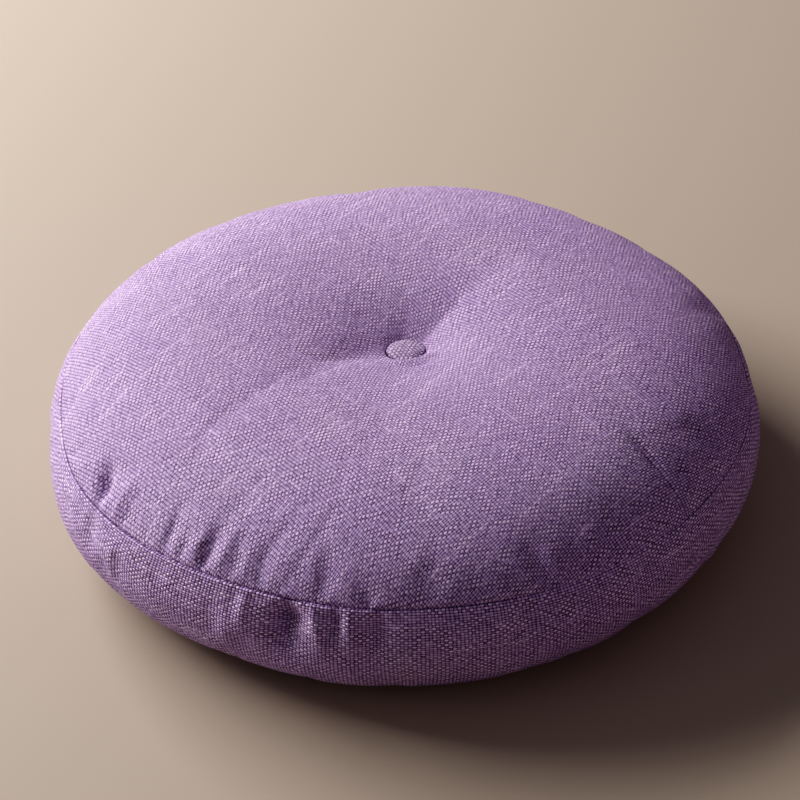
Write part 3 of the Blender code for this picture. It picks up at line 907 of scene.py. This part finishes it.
def button_tree():
    """A covered button by rule: a ball whose upper half is a flattish dome with gathers at its edge."""
    tree = bpy.data.node_groups.new("covered_button", "GeometryNodeTree")
    tree.interface.new_socket("Geometry", in_out="INPUT", socket_type="NodeSocketGeometry")
    for name, default in BUTTON_SIZES.items():
        socket = tree.interface.new_socket(name, in_out="INPUT", socket_type="NodeSocketFloat")
        socket.default_value = default
    tree.interface.new_socket("Place", in_out="INPUT", socket_type="NodeSocketVector")
    tree.interface.new_socket("Material", in_out="INPUT", socket_type="NodeSocketMaterial")
    tree.interface.new_socket("Geometry", in_out="OUTPUT", socket_type="NodeSocketGeometry")
    wiring = Wiring(tree)
    math_ = wiring.math
    given = wiring.node("NodeGroupInput").outputs
    ball = wiring.node(
        "GeometryNodeMeshUVSphere", {"Segments": BUTTON_SEGMENTS, "Rings": BUTTON_RINGS, "Radius": 1.0}
    )
    x, y, z = wiring.place()
    flat = math_("SQRT", math_("ADD", math_("MULTIPLY", x, x), math_("MULTIPLY", y, y)))
    turn = math_("ARCTAN2", y, x)
    above = math_("GREATER_THAN", z, 0.0)
    wander = wiring.noise(wiring.join(*(math_("MULTIPLY", side, GATHER_RATE) for side in (x, y)), 3.0))
    gathers = math_("MULTIPLY", turn, given["Gathers"])
    pleat = math_("COSINE", math_("ADD", gathers, math_("MULTIPLY", wander, GATHER_WANDER)))
    edge = wiring.eased(flat, GATHER_START, 1.0)
    pull = math_("MULTIPLY", math_("MULTIPLY", pleat, edge), given["Gather depth"])
    # the dome's outline is a power curve that is fuller than a circle, so its shoulder is round
    full = math_("POWER", flat, RIM_POWER)
    rim = math_("ADD", math_("MULTIPLY", full, given["Radius"]), pull)
    inward = math_("POWER", math_("SUBTRACT", 1.0, math_("ABSOLUTE", z)), BACK_POWER)
    overhang = math_("SUBTRACT", given["Radius"], given["Back radius"])
    back = math_("ADD", given["Back radius"], math_("MULTIPLY", overhang, inward))
    under = math_("MULTIPLY", flat, back)
    radius = wiring.node("ShaderNodeMix", (above, None, under, rim)).outputs[0]
    dome = math_("POWER", math_("MAXIMUM", z, 0.0), DOME_POWER)
    dome_height = math_("SUBTRACT", given["Height"], given["Edge height"])
    high = math_("ADD", given["Edge height"], math_("MULTIPLY", dome, dome_height))
    up = math_("POWER", math_("MAXIMUM", math_("ADD", z, 1.0), 0.0), EDGE_POWER)
    low = math_("MULTIPLY", given["Edge height"], up)
    height = wiring.node("ShaderNodeMix", (above, None, low, high)).outputs[0]
    across = [math_("MULTIPLY", radius, math_(side, turn)) for side in ("COSINE", "SINE")]
    placed = wiring.join(*across, height)
    shaped = wiring.node("GeometryNodeSetPosition", {"Geometry": ball.outputs["Mesh"], "Position": placed})
    x, y, _ = wiring.place()
    counts = []
    for bearing in (given["Warp bearing"], given["Weft bearing"]):
        eastward = math_("MULTIPLY", x, math_("COSINE", bearing))
        counts.append(math_("ADD", eastward, math_("MULTIPLY", y, math_("SINE", bearing))))
    stored = wiring.node("GeometryNodeStoreNamedAttribute", {
        "Geometry": shaped.outputs[0], "Name": "yarns", "Value": wiring.join(*counts),
    }, data_type="FLOAT2", domain="CORNER")
    smooth = wiring.node("GeometryNodeSetShadeSmooth", {"Geometry": stored.outputs[0]})
    turned = wiring.node("GeometryNodeTransform", {
        "Geometry": smooth.outputs[0],
        "Translation": given["Place"],
        "Rotation": wiring.join(math_("MULTIPLY", given["Tilt"], -1.0)),
    })
    real = wiring.node("GeometryNodeRealizeInstances", {"Geometry": turned.outputs[0]})
    dressed = wiring.node(
        "GeometryNodeSetMaterial", {"Geometry": real.outputs[0], "Material": given["Material"]}
    )
    wiring.node("NodeGroupOutput", (dressed.outputs[0],))
    return tree


def grown(name, tree, inputs):
    """Runs a geometry tree with named inputs and returns what it makes as a plain mesh object."""
    seedling = put_in_scene(name + "_start", bpy.data.meshes.new(name + "_start"))
    nodes = seedling.modifiers.new("nodes", "NODES")
    nodes.node_group = tree
    for item in tree.interface.items_tree:
        if item.item_type == "SOCKET" and item.in_out == "INPUT" and item.name in inputs:
            nodes[item.identifier] = inputs[item.name]
    depsgraph = bpy.context.evaluated_depsgraph_get()
    mesh = bpy.data.meshes.new_from_object(seedling.evaluated_get(depsgraph), depsgraph=depsgraph)
    bpy.data.objects.remove(seedling)
    if not mesh.polygons:
        raise RuntimeError(f"{name} came out empty")
    mesh.name = name
    return put_in_scene(name, mesh)


class CUSHION_OT_button(bpy.types.Operator):
    """Cover the tuft button and set it on its seat"""

    bl_idname = "cushion.button"
    bl_label = "Button"

    def execute(self, context):
        finish = context.scene.cushion_cloth
        middle = (BUTTON_LOW + BUTTON_HIGH) / 2
        tilt = math.radians(SEAT_TILT)
        place = Vector((middle.x, middle.y, BUTTON_LOW.z + BUTTON_BACK_RADIUS * math.sin(tilt)))
        warp, weft = (math.radians(bearing + BUTTON_TURN) for bearing in COUNTED_ALONG)
        cloth = cloth_material("button_cloth_cover", finish, BUTTON_FADED, BUTTON_DARKER)
        button = grown("covered_button", button_tree(), {
            "Place": place,
            "Warp bearing": warp,
            "Weft bearing": weft,
            "Material": cloth,
        })
        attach(button, "root")
        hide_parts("button")
        return {"FINISHED"}


def floor_material(colour):
    material = bpy.data.materials.new("pale_floor")
    material.use_nodes = True
    surface = material.node_tree.nodes["Principled BSDF"]
    surface.inputs["Base Color"].default_value = (*colour, 1.0)
    surface.inputs["Roughness"].default_value = FLOOR_ROUGHNESS
    return material


def softbox(name, box, look):
    """A flat soft light that faces the cushion, with its power and its bearings from the look."""
    light = bpy.data.lights.new(name + "_light", "AREA")
    light.shape = "RECTANGLE"
    light.size, light.size_y = box.width, box.height
    light.energy, light.color = getattr(look, name), box.colour
    lamp = put_in_scene(name + "_light", light)
    azimuth, elevation = getattr(look, name + "_azimuth"), getattr(look, name + "_elevation")
    level = math.cos(elevation)
    toward = Vector((math.cos(azimuth) * level, math.sin(azimuth) * level, math.sin(elevation)))
    lamp.location = toward * box.distance + Vector((0, 0, WIDEST_HEIGHT))
    lamp.rotation_euler = toward.to_track_quat("Z", "Y").to_euler()


class CUSHION_OT_stage(bpy.types.Operator):
    """Set the floor, the lights and the camera"""

    bl_idname = "cushion.stage"
    bl_label = "Stage"

    def execute(self, context):
        look = context.scene.cushion_stage
        mesh = bpy.data.meshes.new("studio_floor")
        corners = [(x * FLOOR_REACH, y * FLOOR_REACH, 0) for x, y in ((-1, -1), (1, -1), (1, 1), (-1, 1))]
        mesh.from_pydata(corners, [], [(0, 1, 2, 3)])
        mesh.materials.append(floor_material(look.floor))
        floor = put_in_scene("studio_floor", mesh)
        for name, box in SOFTBOXES.items():
            softbox(name, box, look)
        world = bpy.data.worlds.new("soft_fill")
        world.use_nodes = True
        background = world.node_tree.nodes["Background"]
        background.inputs["Color"].default_value = (*FILL_COLOUR, 1.0)
        background.inputs["Strength"].default_value = look.fill
        context.scene.world = world
        view = context.scene.view_settings
        view.view_transform = "Standard"
        view.use_curve_mapping = True
        curve = view.curve_mapping.curves[3]
        for light, tone in TONE_POINTS:
            curve.points.new(light, tone)
        view.curve_mapping.update()
        pitch, roll = math.radians(CAMERA_PITCH), math.radians(CAMERA_ROLL)
        forward = Vector((0, math.cos(pitch), -math.sin(pitch)))
        right = Vector((1, 0, 0))
        up = Vector((0, math.sin(pitch), math.cos(pitch)))
        camera_right = right * math.cos(roll) + up * math.sin(roll)
        camera_up = up * math.cos(roll) - right * math.sin(roll)
        lens = bpy.data.cameras.new("view")
        lens.sensor_width = 36
        lens.lens = CAMERA_LENS
        camera = put_in_scene("view", lens)
        turn = Matrix((camera_right, camera_up, -forward)).transposed().to_4x4()
        camera.matrix_world = Matrix.Translation(CAMERA_PLACE) @ turn
        context.scene.camera = camera
        return {"FINISHED"}


class CUSHION_PT_pieces(bpy.types.Panel):
    """The cushion's pieces, sizes and finishes"""

    bl_label = "Round floor cushion"
    bl_idname = "CUSHION_PT_pieces"
    bl_space_type = "VIEW_3D"
    bl_region_type = "UI"
    bl_category = "Cushion"

    def draw(self, context):
        for operator, group in zip(OPERATORS, GROUPS):
            box = self.layout.box()
            box.operator(operator.bl_idname)
            values = getattr(context.scene, group)
            for name in values.__annotations__:
                box.prop(values, name)


GROUPS = {"cushion_cover": CoverSizes, "cushion_cloth": ClothFinish, "cushion_stage": StageLook}
OPERATORS = (CUSHION_OT_cover, CUSHION_OT_button, CUSHION_OT_stage)
CLASSES = (*GROUPS.values(), *OPERATORS, CUSHION_PT_pieces)


def register():
    for cls in CLASSES:
        bpy.utils.register_class(cls)
    for name, group in GROUPS.items():
        setattr(bpy.types.Scene, name, PointerProperty(type=group))


def unregister():
    for name in GROUPS:
        delattr(bpy.types.Scene, name)
    for cls in reversed(CLASSES):
        bpy.utils.unregister_class(cls)


def main():
    register()
    for step in (bpy.ops.cushion.cover, bpy.ops.cushion.button, bpy.ops.cushion.stage):
        step()


if __name__ == "__main__":
    main()
